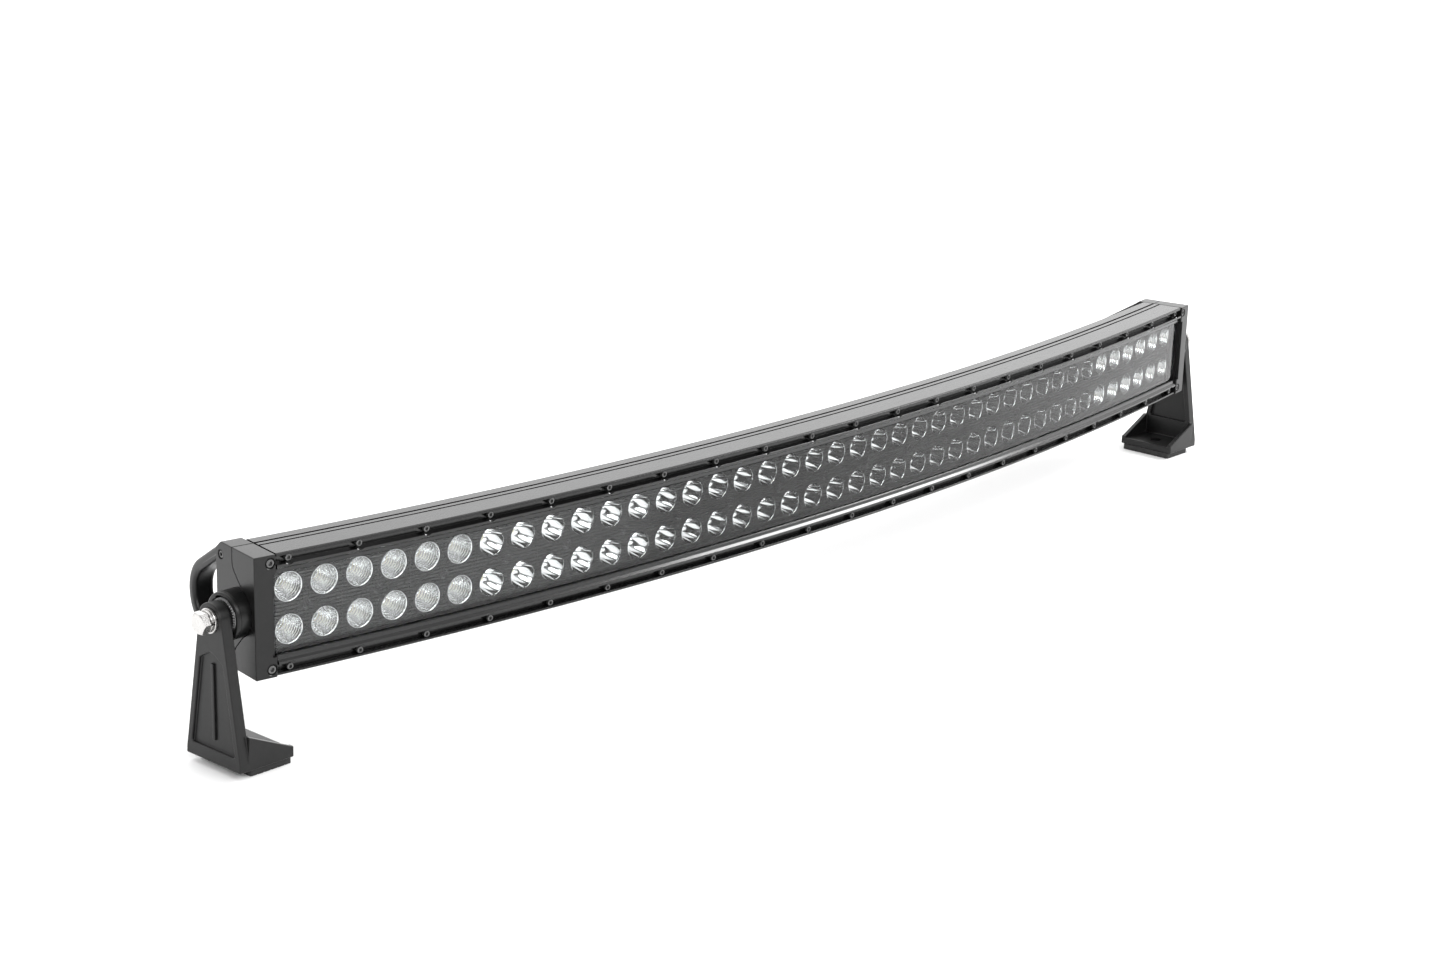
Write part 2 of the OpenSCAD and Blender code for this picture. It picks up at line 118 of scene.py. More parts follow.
# Places taken from the frame
AXIS_H = frame["joints"][0]["pos_m"][2] / MM
AXIS_Y = CURVE_R - (CURVE_R + HUB_DEPTH) * math.cos(CAP_END / CURVE_R)
HUB_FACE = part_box("right_end_guard")[1].x / MM
ARM_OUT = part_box("right_bracket")[1].x / MM
ARM_IN = ARM_OUT - ARM_T
FOOT_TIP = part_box("right_bracket")[0].x / MM
BASE_W = 2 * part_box("right_bracket")[1].y / MM
HEAD_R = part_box("right_bracket")[1].z / MM - AXIS_H

SIDES = ((-1, "left"), (1, "right"))


# ---- mesh tools ------------------------------------------------------------------------------

def bend(points):
    """Row-frame places of an array of (arc distance, height, depth)."""
    s, z, depth = np.asarray(points, float).reshape(-1, 3).T
    turn = s / CURVE_R
    x = (CURVE_R + depth) * np.sin(turn)
    y = CURVE_R - (CURVE_R + depth) * np.cos(turn) - AXIS_Y
    return np.stack([x, y, z + AXIS_H], axis=1)


def new_object(name, mesh):
    obj = bpy.data.objects.new(name, mesh)
    bpy.context.scene.collection.objects.link(obj)
    return obj


def face_outwards(mesh):
    shape = bmesh.new()
    shape.from_mesh(mesh)
    bmesh.ops.recalc_face_normals(shape, faces=shape.faces)
    shape.to_mesh(mesh)
    shape.free()


def solid(name, points, faces):
    """Closed mesh object from points in millimetres."""
    mesh = bpy.data.meshes.new(name)
    mesh.from_pydata((np.asarray(points, float) * MM).tolist(), [], faces)
    face_outwards(mesh)
    return new_object(name, mesh)


def skin(count, sides, closed=False):
    """Faces between rings of points, with flat ends unless the last ring joins the first."""
    faces = []
    for i in range(count if closed else count - 1):
        here = i * sides
        there = (i + 1) % count * sides
        for k in range(sides):
            after = (k + 1) % sides
            faces.append((here + k, here + after, there + after, there + k))
    if not closed:
        faces.append(tuple(range(sides)))
        faces.append(tuple(range((count - 1) * sides, count * sides)))
    return faces


def rounded(corners, radius=0.0, parts=4):
    """Outline whose corners are rounded by a radius, or by a corner's own third number."""
    outline = []
    for i, corner in enumerate(corners):
        here = np.array(corner[:2], float)
        own = corner[2] if len(corner) > 2 else radius
        back = np.array(corners[i - 1][:2]) - here
        ahead = np.array(corners[(i + 1) % len(corners)][:2]) - here
        legs = np.hypot(*back), np.hypot(*ahead)
        cosine = np.clip(back @ ahead / (legs[0] * legs[1]), -1, 1)
        if own <= 0 or cosine < -0.999:
            outline.append(tuple(here))
            continue
        cut = min(own / math.tan(math.acos(cosine) / 2), 0.48 * min(legs))
        for u in np.linspace(0, 1, parts + 1):
            point = here + back / legs[0] * cut * (1 - u) ** 2 + ahead / legs[1] * cut * u ** 2
            outline.append(tuple(point))
    return outline


def whole(half):
    """Outline of a section from its upper half, which runs on into the lower half."""
    return list(half) + [(p[0], -p[1], *p[2:]) for p in reversed(half)]


def full_turn(sides):
    """Angles of the corners of a regular outline."""
    return np.arange(sides) * 2 * math.pi / sides


def circle(radius, sides=32, centre=(0, 0)):
    return [(centre[0] + radius * math.cos(a), centre[1] + radius * math.sin(a))
            for a in full_turn(sides)]


def box_outline(x0, x1, y0, y1):
    return [(x0, y0), (x1, y0), (x1, y1), (x0, y1)]


def square(half):
    return box_outline(-half, half, -half, half)


def tangent_angle(point, centre, radius, turn):
    """Angle at which a line from a point touches a circle, on the side given by turn."""
    away = np.subtract(point, centre)
    return math.atan2(away[1], away[0]) + turn * math.acos(radius / math.hypot(*away))


def round_back(radius, top, low, parts=28):
    """Points from a top corner round the loop's centre to a low corner."""
    first = tangent_angle(top, LOOP_C, radius, 1)
    last = tangent_angle(low, LOOP_C, radius, -1) % (2 * math.pi)
    turns = np.linspace(first, last, parts)
    arc = [(LOOP_C[0] + radius * math.cos(a), LOOP_C[1] + radius * math.sin(a)) for a in turns]
    return [top, *arc, low]


def sweep(name, outline, start, end):
    """Outline of (depth, height) points swept along the curve."""
    stations = np.linspace(start, end, max(2, round(abs(end - start) / SWEEP_STEP) + 1))
    rings = [(s, z, depth) for s in stations for depth, z in outline]
    return solid(name, bend(rings), skin(len(stations), len(outline)))


def prism(name, outline, low, high):
    """Outline of (x, y) points, straight from z = low to z = high."""
    points = [(x, y, z) for z in (low, high) for x, y in outline]
    return solid(name, points, skin(2, len(outline)))


def lathe(name, rings, sides=32, closed=False):
    """Solid round Z of rings (radius, height). Either number may be an array with one value a side."""
    turns = full_turn(sides)
    points = []
    for radius, height in rings:
        x = radius * np.cos(turns)
        y = radius * np.sin(turns)
        points.extend(zip(x, y, np.broadcast_to(height, sides)))
    return solid(name, points, skin(len(rings), sides, closed))


def polygon_radii(half_width, corners, sides):
    """Radii that turn a lathe's ring into a regular polygon."""
    sector = 2 * math.pi / corners
    return half_width / np.cos(full_turn(sides) % sector - sector / 2)


def settle(obj):
    """Turns an object's modifiers into its mesh."""
    graph = bpy.context.evaluated_depsgraph_get()
    mesh = bpy.data.meshes.new_from_object(obj.evaluated_get(graph))
    obj.modifiers.clear()
    obj.data = mesh
    return obj


def combine(obj, tool, operation):
    """Cuts or joins a solid with a tool, which is used up."""
    step = obj.modifiers.new("Combine", "BOOLEAN")
    step.operation = operation
    step.solver = "MANIFOLD"
    step.object = tool
    settle(obj)
    bpy.data.objects.remove(tool)


def carve(obj, tool):
    combine(obj, tool, "DIFFERENCE")


def weld(obj, other):
    combine(obj, other, "UNION")


def soften(obj, width, parts=2):
    """Rounds the edges that turn by more than 35 degrees."""
    step = obj.modifiers.new("Soften", "BEVEL")
    step.width = width * MM
    step.segments = parts
    step.limit_method = "ANGLE"
    step.angle_limit = math.radians(35)
    step.use_clamp_overlap = False
    return settle(obj)


def remap(obj, rule):
    """Moves every vertex by a rule on an array of points in millimetres."""
    mesh = obj.data
    points = np.zeros(len(mesh.vertices) * 3)
    mesh.vertices.foreach_get("co", points)
    moved = rule(points.reshape(-1, 3) / MM) * MM
    mesh.vertices.foreach_set("co", moved.ravel())
    face_outwards(mesh)
    mesh.update()
    return obj


def onto_curve(obj, side):
    """Bends a solid drawn as (depth, height, arc distance) onto the bar's curve."""
    return remap(obj, lambda p: bend(np.stack([side * p[:, 2], p[:, 1], p[:, 0]], axis=1)))


def across(obj, side):
    """Stands a solid drawn as (y, z, x) in the row frame, on the right or the left."""
    return remap(obj, lambda p: np.stack([side * p[:, 2], p[:, 0], p[:, 1]], axis=1))


def matrix_of(x_axis, y_axis, z_axis, place):
    columns = [Vector(x_axis), Vector(y_axis), Vector(z_axis), Vector(place) * MM]
    return Matrix([[c[row] for c in columns] for row in range(3)] + [[0, 0, 0, 1]])


def facing(s, z, depth):
    """Frame on the curve: X along the bar, Y up, Z out of the bar's face."""
    c, t = math.cos(s / CURVE_R), math.sin(s / CURVE_R)
    return matrix_of((c, t, 0), (0, 0, 1), (t, -c, 0), bend([(s, z, depth)])[0])


def endwise(side, s, z, depth):
    """Frame on the curve whose Z points along the bar, away from its middle."""
    c, t = math.cos(side * s / CURVE_R), math.sin(side * s / CURVE_R)
    out = Vector((c, t, 0)) * side
    up = Vector((0, 0, 1))
    return matrix_of(up.cross(out), up, out, bend([(side * s, z, depth)])[0])


def pivot(side, x=0.0):
    """Frame on the tilt axis whose Z points outwards."""
    return matrix_of((0, side, 0), (0, 0, 1), (side, 0, 0), (side * x, 0, AXIS_H))


def put(obj, place):
    """Moves an object's mesh into a frame."""
    obj.data.transform(place)
    obj.data.update()
    return obj


def scatter(obj, places):
    """Repeats an object's mesh at several frames, inside one mesh."""
    shape = bmesh.new()
    for place in places:
        copy = obj.data.copy()
        copy.transform(place)
        shape.from_mesh(copy)
        bpy.data.meshes.remove(copy)
    shape.to_mesh(obj.data)
    shape.free()
    return obj


def turned(place, rng):
    """The same frame, turned about its own Z by a random angle, as a driver leaves a screw."""
    return place @ Matrix.Rotation(rng.uniform(0, 2 * math.pi), 4, "Z")


def dress(obj, material, body, slot, *nodes, smooth=32, weighted=True):
    """Gives a piece its material, its shading and its body, and hides the CAD nodes that it stands for."""
    obj.data.materials.clear()
    obj.data.materials.append(material)
    obj.data.shade_smooth()
    obj.data.set_sharp_from_angle(angle=math.radians(smooth))
    if weighted:
        step = obj.modifiers.new("Even", "WEIGHTED_NORMAL")
        step.keep_sharp = True
    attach(obj, body)
    if nodes:
        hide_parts(*nodes)


# ---- materials -------------------------------------------------------------------------------

def add_node(tree, kind, settings=None, **inputs):
    """New node with its settings and its inputs' values. Underscores in input names are spaces."""
    node = tree.nodes.new(kind)
    for key, value in (settings or {}).items():
        setattr(node, key, value)
    for key, value in inputs.items():
        node.inputs[key.replace("_", " ")].default_value = value
    return node


def noise(tree, scale, stretch=(1, 1, 1)):
    """Noise on the object's own coordinates, in features a metre."""
    place = add_node(tree, "ShaderNodeTexCoord")
    size = add_node(tree, "ShaderNodeMapping", Scale=stretch)
    pattern = add_node(tree, "ShaderNodeTexNoise", Scale=scale, Detail=4.0)
    tree.links.new(place.outputs["Object"], size.inputs["Vector"])
    tree.links.new(size.outputs["Vector"], pattern.inputs["Vector"])
    return pattern.outputs["Fac"]


def spread(tree, value, low, high):
    """Maps a noise's middle range to low and high."""
    step = add_node(tree, "ShaderNodeMapRange", From_Min=0.3, From_Max=0.7, To_Min=low, To_Max=high)
    tree.links.new(value, step.inputs["Value"])
    return step.outputs["Result"]


def shades(tree, value, dark, light):
    """Colour between two shades, by a noise's middle range."""
    ramp = add_node(tree, "ShaderNodeValToRGB")
    ramp.color_ramp.elements[0].position = 0.3
    ramp.color_ramp.elements[0].color = (*dark, 1)
    ramp.color_ramp.elements[1].position = 0.7
    ramp.color_ramp.elements[1].color = (*light, 1)
    tree.links.new(value, ramp.inputs["Fac"])
    return ramp.outputs["Color"]


def bump(tree, shader, value, height, strength=1.0):
    """Raises a surface by a noise. Height is in millimetres."""
    step = add_node(tree, "ShaderNodeBump", Strength=strength, Distance=height * MM)
    tree.links.new(value, step.inputs["Height"])
    tree.links.new(step.outputs["Normal"], shader.inputs["Normal"])


def surface(name, dark, light, rough, grain, height, metallic=0.0, patches=40.0,
            stretch=(1, 1, 1), specular=0.5, coat=0.0):
    """Principled material: patches vary its colour, and a fine grain its roughness and height."""
    material = bpy.data.materials.new(name)
    material.use_nodes = True
    tree = material.node_tree
    shader = tree.nodes["Principled BSDF"]
    shader.inputs["Metallic"].default_value = metallic
    shader.inputs["Specular IOR Level"].default_value = specular
    shader.inputs["Coat Weight"].default_value = coat
    tint = shades(tree, noise(tree, patches, stretch), dark, light)
    fine = noise(tree, grain, stretch)
    tree.links.new(tint, shader.inputs["Base Color"])
    tree.links.new(spread(tree, fine, *rough), shader.inputs["Roughness"])
    bump(tree, shader, fine, height)
    return material


def grey(value, warmth=0.0):
    """Grey shade, with more red and less blue by a warmth."""
    return value + warmth, value, value - warmth


def extrusion(name, rough, height, specular):
    """Black aluminium with fine streaks along the bar."""
    return surface(name, grey(0.003), grey(0.006), rough, grain=2600, height=height,
                   stretch=(0.06, 1, 1), patches=160, specular=specular)


def powder_coat(name, value):
    return surface(name, grey(value), grey(value * 1.4), rough=(0.28, 0.38), grain=1500,
                   height=0.018, patches=220, specular=0.32)


def black_oxide(name, value):
    return surface(name, grey(value), grey(value * 1.6), rough=(0.24, 0.36), grain=1800,
                   height=0.006, metallic=0.85, patches=700)


def stainless():
    return surface("stainless", grey(0.54, 0.010), grey(0.60, 0.008), rough=(0.22, 0.34),
                   grain=2200, height=0.006, metallic=1.0, patches=600)


def zinc_insert():
    return surface("insert_alloy", grey(0.13), grey(0.22), rough=(0.34, 0.50), grain=1500,
                   height=0.010, metallic=0.9, patches=500)


def chrome(name, rough, height):
    return surface(name, grey(0.84), grey(0.93), rough, grain=420, height=height, metallic=1.0,
                   patches=120)


def face_plastic():
    return surface("face_plastic", grey(0.003), grey(0.005), rough=(0.24, 0.34), grain=1400,
                   height=0.008, patches=90, specular=0.4)


def board_mask():
    return surface("board_mask", (0.70, 0.72, 0.68), (0.80, 0.82, 0.78), rough=(0.35, 0.5),
                   grain=900, height=0.02, patches=260)


def led_ceramic():
    return surface("led_ceramic", (0.80, 0.80, 0.76), (0.88, 0.88, 0.85), rough=(0.4, 0.55),
                   grain=2400, height=0.01, patches=900)


def led_dome():
    return surface("led_dome_silicone", (0.86, 0.80, 0.52), (0.94, 0.90, 0.70), rough=(0.06, 0.12),
                   grain=1500, height=0.004, patches=500, coat=0.6)


def wire_sheath():
    return surface("wire_sheath", (0.42, 0.015, 0.012), (0.55, 0.03, 0.02), rough=(0.35, 0.5),
                   grain=900, height=0.02, patches=200)


def silicone():
    return surface("silicone", grey(0.02), grey(0.032), rough=(0.55, 0.7), grain=1300, height=0.03,
                   patches=120)


def nylon():
    return surface("moulded_nylon", grey(0.008), grey(0.013), rough=(0.36, 0.50), grain=1500,
                   height=0.03, patches=260)


def rubber():
    return surface("moulded_rubber", grey(0.010), grey(0.018), rough=(0.58, 0.76), grain=1700,
                   height=0.05, patches=150)


def clear_plastic(name, facing_out):
    """Polycarbonate that lets light straight through, with a gloss.

    The gloss is faint, and on a side that faces out it grows as the surface turns away.
    """
    material = bpy.data.materials.new(name)
    material.use_nodes = True
    tree = material.node_tree
    tree.nodes.remove(tree.nodes["Principled BSDF"])
    through = add_node(tree, "ShaderNodeBsdfTransparent", Color=(0.97, 0.98, 0.98, 1))
    gloss = add_node(tree, "ShaderNodeBsdfGlossy", Color=(1, 1, 1, 1))
    mix = add_node(tree, "ShaderNodeMixShader", Fac=0.02)
    bump(tree, gloss, noise(tree, 12), height=0.02, strength=0.1)
    tree.links.new(spread(tree, noise(tree, 140), 0.02, 0.05), gloss.inputs["Roughness"])
    if facing_out:
        edge = add_node(tree, "ShaderNodeFresnel", IOR=1.38)
        tree.links.new(edge.outputs["Fac"], mix.inputs["Fac"])
    tree.links.new(through.outputs["BSDF"], mix.inputs[1])
    tree.links.new(gloss.outputs["BSDF"], mix.inputs[2])
    tree.links.new(mix.outputs["Shader"], tree.nodes["Material Output"].inputs["Surface"])
    return material


# ---- the extrusion and its rails -------------------------------------------------------------

def rail_screw_places(row):
    """Arc distance and height of each screw in the upper or the lower rail."""
    end_room = 8
    last = int((HALF_LEN - end_room) // RAIL_SCREW_PITCH)
    return [(k * RAIL_SCREW_PITCH, row * RAIL_SCREW_Z) for k in range(-last, last + 1)]


def top_groove(depth, width, deep):
    """Points of a fine groove along the top face, from front to back."""
    half = width / 2
    return [(depth + half, HALF_H), (depth + half * 0.8, HALF_H - deep),
            (depth - half * 0.8, HALF_H - deep), (depth - half, HALF_H)]


def fin_edge():
    """Points of the fins' comb, from the top of the back wall to its bottom."""
    limit = round_back(FIN_R, (-36.0, HALF_H - 5), (-38.0, 5 - HALF_H))
    heights = [-p[1] for p in limit]
    depths = [p[0] for p in limit]
    outermost = FINS // 2
    comb = []
    for k in range(outermost, -outermost - 1, -1):
        z = k * FIN_PITCH
        top, low = z + FIN_T / 2, z - FIN_T / 2
        tip = float(np.interp(-z, heights, depths))
        comb += rounded([(WALL_BACK, top, 0.5), (tip, top, 0.7), (tip, low, 0.7),
                         (WALL_BACK, low, 0.5)], parts=3)
    return comb


def housing_outline():
    """Section of the extrusion: the lamp trough, the grooved top and bottom, and the fins."""
    half = [(FLOOR_FRONT, 27.2), (-0.7, 27.2), (-0.7, 30.4), (RAIL_SEAT, 30.4), (RAIL_SEAT, LIP_Z),
            (LIP_FRONT, LIP_Z, 0.3), (LIP_FRONT, HALF_H - 0.6, 0.4), (7.3, HALF_H, 0.5),
            *top_groove(-12.0, 1.8, 1.3), *top_groove(-17.6, 2.3, 1.6),
            (SKIN_BACK, HALF_H, 1.6), (SKIN_BACK - 5, HALF_H - 3.5, 0.5),
            (SKIN_BACK - 3, HALF_H - 4.5, 0.3), (SKIN_BACK, HALF_H - 2.5),
            (WALL_BACK, HALF_H - 2.5, 0.6)]
    upper = rounded(half + [(WALL_BACK, 0)], parts=3)[:-1]
    return upper + fin_edge() + [(p[0], -p[1]) for p in reversed(upper)]


def housing(material):
    """Extrusion with screw channels, a relief at each rail screw and a pocket at each outlet."""
    body = sweep("bar_housing", housing_outline(), -HALF_LEN, HALF_LEN)
    for depth, z in PORTS:
        port = rounded([(depth + x, z + y) for x, y in square(3.5)], 0.8)
        weld(body, sweep("port", port, -HALF_LEN, HALF_LEN))
    relief = prism("relief", circle(2.4), 0, 8)
    places = [p for row in (-1, 1) for p in rail_screw_places(row)]
    carve(body, scatter(relief, [facing(s, z, SCREW_SEAT - 0.1) for s, z in places]))
    pocket = prism("pocket", rounded(box_outline(-14, 14, -12.3, 12.3), 3), -60, 0)
    carve(body, scatter(pocket, [facing(s, 0, WALL_BACK) for s in (-OUTLET_S, OUTLET_S)]))
    dress(body, material, "bar", "black_anodised_body", "housing")


def rail_outline(row):
    """Section with the groove's floor, a raised strip and the flange that clamps the lens."""
    floor_part = [(RAIL_SEAT, LIP_Z - 0.1), (GROOVE_FLOOR, LIP_Z - 0.1, 0.2), (GROOVE_FLOOR, 32.4, 0.4)]
    strip = [(9.25, 32.2, 0.4), (9.3, 30.6, 0.3), (7.7, 29.0, 0.4), (7.3, 26.7, 0.4)]
    flange = [(6.6, WINDOW_Z + 0.1, 0.2), (3.4, WINDOW_Z + 0.1), (3.4, 30.2), (RAIL_SEAT, 30.2)]
    return [(depth, row * z) for depth, z in rounded(floor_part + strip + flange)]


def screw_recess(name, radius, depth, reach):
    """Round cutter for a screw's head, wider above a depth, with its floor at z = 0."""
    wide = radius + 0.5
    return lathe(name, [(radius, 0), (radius, depth), (wide, depth + 0.5), (wide, reach)], 40)


def rail(name, row, material):
    """Clamping rail with a scallop and a low boss at each screw."""
    strip = sweep(name.replace("_rail", "_clamp_rail"), rail_outline(row), 0.1 - HALF_LEN, HALF_LEN - 0.1)
    places = [facing(s, z, SCREW_SEAT) for s, z in rail_screw_places(row)]
    carve(strip, scatter(screw_recess("scallop", 3.6, 2.6, 9), places))
    boss = prism("boss", circle(2.1), RAIL_SEAT + 0.2 - SCREW_SEAT, 0)
    weld(strip, scatter(boss, places))
    dress(strip, material, "bar", "black_rail", name)


def socket_screw(name, head_r, head_h, shank_r, shank_len):
    """Cap screw with a chamfered head and a hexagon socket, its seat at z = 0."""
    sides = 24
    key = polygon_radii(head_r * 0.52, 6, sides)
    rings = [(shank_r * 0.6, -shank_len), (shank_r, 0.6 - shank_len), (shank_r, -0.01),
             (head_r - 0.1, 0), (head_r, 0.1), (head_r, head_h - 0.4), (head_r - 0.1, head_h - 0.12),
             (head_r - 0.35, head_h), (head_r * 0.7, head_h), (key, head_h - 0.12),
             (key, head_h * 0.2), (0.2, head_h * 0.2 - 0.2)]
    return lathe(name, rings, sides)


def rail_screws(name, row, material):
    """Screws of one rail, each turned by its own angle."""
    rng = random.Random(SEED + row)
    screw = socket_screw(name.replace("rail_screws", "rail_cap_screws"), head_r=2.2, head_h=2.1,
                         shank_r=1.2, shank_len=11)
    places = [turned(facing(s, z, SCREW_SEAT), rng) for s, z in rail_screw_places(row)]
    dress(scatter(screw, places), material, "bar", "black_screw", name)


# ---- lamps and lens --------------------------------------------------------------------------

def module_s(number):
    """Arc distance of a module's middle, counted from 1 at the left end."""
    return (number - (MODULES + 1) / 2) * MODULE_LEN


def cup_places():
    """Frames of the four lamps of a module."""
    half_x, half_z = LED_PITCH / 2 * MM, ROW_GAP / 2 * MM
    return [Matrix.Translation((x * half_x, z * half_z, 0)) for x in (-1, 1) for z in (-1, 1)]


def ribbed_plate_outline():
    """Plate section of (depth, height) points, with fine ribs across its front."""
    half_z, ribs_each_way = 26.8, 10
    pitch, crest, deep = 2.4, 1.1, 1.1
    foot = pitch / 2
    ribs = []
    for k in range(-ribs_each_way, ribs_each_way + 1):
        z = k * pitch
        ribs += [(-deep, z - foot + 0.2), (0, z - crest / 2), (0, z + crest / 2),
                 (-deep, z + foot - 0.2)]
    return [(FACE_BACK, half_z), (FACE_BACK, -half_z), (-deep, -half_z), *ribs, (-deep, half_z)]


def face_plate(name):
    """One module's ribbed face with four lamp holes and a recess for its screw."""
    module_gap, screw_r, head_room_r = 0.3, 1.6, 2.8
    half_x = (MODULE_LEN - module_gap) / 2
    plate = prism(name, ribbed_plate_outline(), -half_x, half_x)
    remap(plate, lambda p: np.stack([p[:, 2], p[:, 1], p[:, 0]], axis=1))
    carve(plate, scatter(prism("mouth", circle(MOUTH_R, 64), -4, 2), cup_places()))
    weld(plate, lathe("boss", [(3.9, -1.6), (3.9, -0.35), (3.5, 0), (2.9, 0), (2.9, -1.5)], 40))
    carve(plate, prism("screw_seat", circle(head_room_r), MODULE_SCREW_SEAT, 2))
    carve(plate, prism("screw_hole", circle(screw_r), -4, 0))
    return plate


def cup_radius(depth):
    """Bowl's radius at a depth, a parabola whose tip lies beyond the bowl's end."""
    tip = CUP_DEPTH + 3
    return MOUTH_R * np.sqrt(1 - depth / tip)


def cup(name, inner, lip, sides):
    """Four bowls in one mesh, each a thin rim on the module's face, an inner wall and a back."""
    rim = [(MOUTH_R - 0.1, -0.4), (MOUTH_R + 0.15, -0.3), (MOUTH_R + 0.2, 0.06), (MOUTH_R + 0.08, 0.12),
           (MOUTH_R - lip, 0.02)]
    back = [(cup_radius(d) + 0.45, -d) for d in np.linspace(BOWL_FLOOR, 2.2, 8)]
    return scatter(lathe(name, rim + inner + back, sides, closed=True), cup_places())


def spot_cups():
    """Smooth bowls that throw a beam."""
    inner = [(cup_radius(d) - 0.1, -d) for d in np.linspace(0.25, BOWL_FLOOR, 16)]
    return cup("spot_cup", inner, lip=0.08, sides=56)


def flood_cups():
    """Bowls with round scallops and fine facets that scatter their light."""
    sides, scallops, parts = 72, 9, 5
    facets, facet_h, swell_h = 18, 0.10, 0.42
    turns = full_turn(sides)
    inner = []
    for i, d in enumerate(np.linspace(0.25, BOWL_FLOOR, scallops * parts)):
        band, part = divmod(i, parts)
        swell = swell_h * math.sin(math.pi * part / (parts - 1))
        facet = (facet_h * np.cos(facets * turns + math.pi * band)
                 * math.sin(math.pi * part / (parts - 1)))
        inner.append((cup_radius(d) - 0.47 + swell + facet, -d))
    return cup("flood_cup", inner, lip=0.3, sides=sides)


def linked_copy(name, source, place):
    """Object that shares another one's mesh, put at a frame."""
    copy = new_object(name, source.data)
    copy.matrix_world = place
    return copy


def modules(plastic, mirror, satin):
    """Face plates and bowls of every module. The end modules flood, and the others are spots."""
    plate = face_plate("face_plate")
    spot = spot_cups()
    flood = flood_cups()
    dress(plate, plastic, "bar", "black_reflector_face", "reflector_faces", weighted=False)
    dress(spot, mirror, "bar", "chrome_reflector", smooth=50, weighted=False)
    dress(flood, satin, "bar", "chrome_reflector", smooth=60, weighted=False)
    for number in range(1, MODULES + 1):
        place = facing(module_s(number), 0, 0)
        is_flood = min(number, MODULES + 1 - number) <= FLOOD_MODULES
        cups = linked_copy(f"bowls_{number:02d}", flood if is_flood else spot, place)
        face = linked_copy(f"module_face_{number:02d}", plate, place)
        for piece, slot, node in ((cups, "chrome_reflector", f"reflector_{number:02d}"),
                                  (face, "black_reflector_face", "reflector_faces")):
            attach(piece, "bar")
            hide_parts(node)
    for source in (plate, spot, flood):
        bpy.data.objects.remove(source)


def module_screws(material):
    rng = random.Random(SEED)
    screw = socket_screw("module_cap_screws", head_r=2.4, head_h=1.3, shank_r=1.25, shank_len=20.5)
    places = [turned(facing(module_s(i), 0, MODULE_SCREW_SEAT), rng) for i in range(1, MODULES + 1)]
    dress(scatter(screw, places), material, "bar", "black_screw", "reflector_screws")


def led_places():
    """Frames of the emitters, standing on the board."""
    return [facing((i + 0.5) * LED_PITCH, row * ROW_GAP / 2, BOARD_FRONT + 0.02)
            for i in range(-MODULES, MODULES) for row in (-1, 1)]


def emitters(ceramic, silicone_dome):
    """Square ceramic chips, each with a moulded dome on a round foot."""
    chip = prism("led_chips", rounded(square(2.5), 0.5), 0, 0.75)
    soften(chip, 0.12)
    dress(scatter(chip, led_places()), ceramic, "bar", "led_emitter", "led_emitters")
    arc = [(2.2 * math.cos(a), 0.95 + 2.15 * math.sin(a)) for a in np.linspace(0, 1.5, 10)]
    dome = lathe("led_domes", [(2.4, 0.7), (2.4, 0.9), *arc], 28)
    dress(scatter(dome, led_places()), silicone_dome, "bar", "led_emitter", "led_emitters", smooth=50)


def lens_outline():
    """Section of the window: a raised middle between two thin flanges under the rails."""
    half = [(2.8, 24.8, 0.8), (0.8, 25.8, 0.3), (0.8, 29.9), (3.4, 29.9), (3.4, WINDOW_Z),
            (LENS_FRONT, WINDOW_Z, 1.0)]
    return rounded(whole(half), parts=4)


def lens(outside, inside):
    """One long window. Its front's gloss grows as it turns away, and its back and ends stay faint."""
    window = sweep("lens_window", lens_outline(), 0.2 - HALF_LEN, HALF_LEN - 0.2)
    dress(window, outside, "bar", "clear_lens", "front_lens", smooth=40)
    window.data.materials.append(inside)
    for face in window.data.polygons:
        if face.normal.y > 0.3 or abs(face.normal.x) > 0.5:
            face.material_index = 1


# ---- end castings ----------------------------------------------------------------------------

def seam(shift):
    """Seam between the two castings, from its top to its bottom, moved back by an amount."""
    half = [(-17.5, HALF_H), (-17.5, 27.0, 9), (-9.0, 18.5, 5), (0.5, 10.0, 2)]
    return [(p[0] - shift, p[1], *p[2:]) for p in whole(half)]


def seam_steps(name, start, grow=0.0):
    """Steps of the seam on the top and bottom faces, where the guard reaches forward over the cap."""
    back, front, height, half = -17.9, -5.2, 32.6, 5.4
    outlines = [box_outline(back - grow, front + grow, row * height - half - grow, row * height + half)
                for row in (-1, 1)]
    return [prism(name, outline, start, CAP_END - 7 + grow) for outline in outlines]


def corner_screw_places(side):
    """Frames of the two screws in the face of an end cap."""
    return [facing(side * (CAP_START + 3.6), row * 34.2, FRONT - 2.6) for row in (-1, 1)]


def side_screw_places(side):
    """Frames of the screws that run through an end guard into the extrusion's channels."""
    return [endwise(side, CAP_END - 2.6, z, depth) for depth, z in PORTS]


def end_cap(side, word, material):
    """Front casting with a plain face, stepped at the lens and cut away round the hub."""
    outline = [(FRONT, -HALF_H), (FRONT, HALF_H), *seam(0)]
    block = prism(f"{word}_front_casting", rounded(outline, parts=5), CAP_START, CAP_END)
    soften(block, 0.7, 3)
    for notch in seam_steps("notch", CAP_START - 1, grow=0.2):
        carve(block, notch)
    lens_step = box_outline(6.0, FRONT + 2, -26.5, 26.5)
    carve(block, prism("lens_step", lens_step, CAP_START - 1, CAP_START + 3.2))
    onto_curve(block, side)
    inner_x, outer_x = 480, 560
    hub_room = prism("hub_room", circle(HUB_R + 0.3, 96), inner_x, outer_x)
    carve(block, put(hub_room, pivot(side)))
    carve(block, scatter(screw_recess("recess", 3.4, 2.2, 7), corner_screw_places(side)))
    dress(block, material, "bar", "black_casting", f"{word}_end_cap")


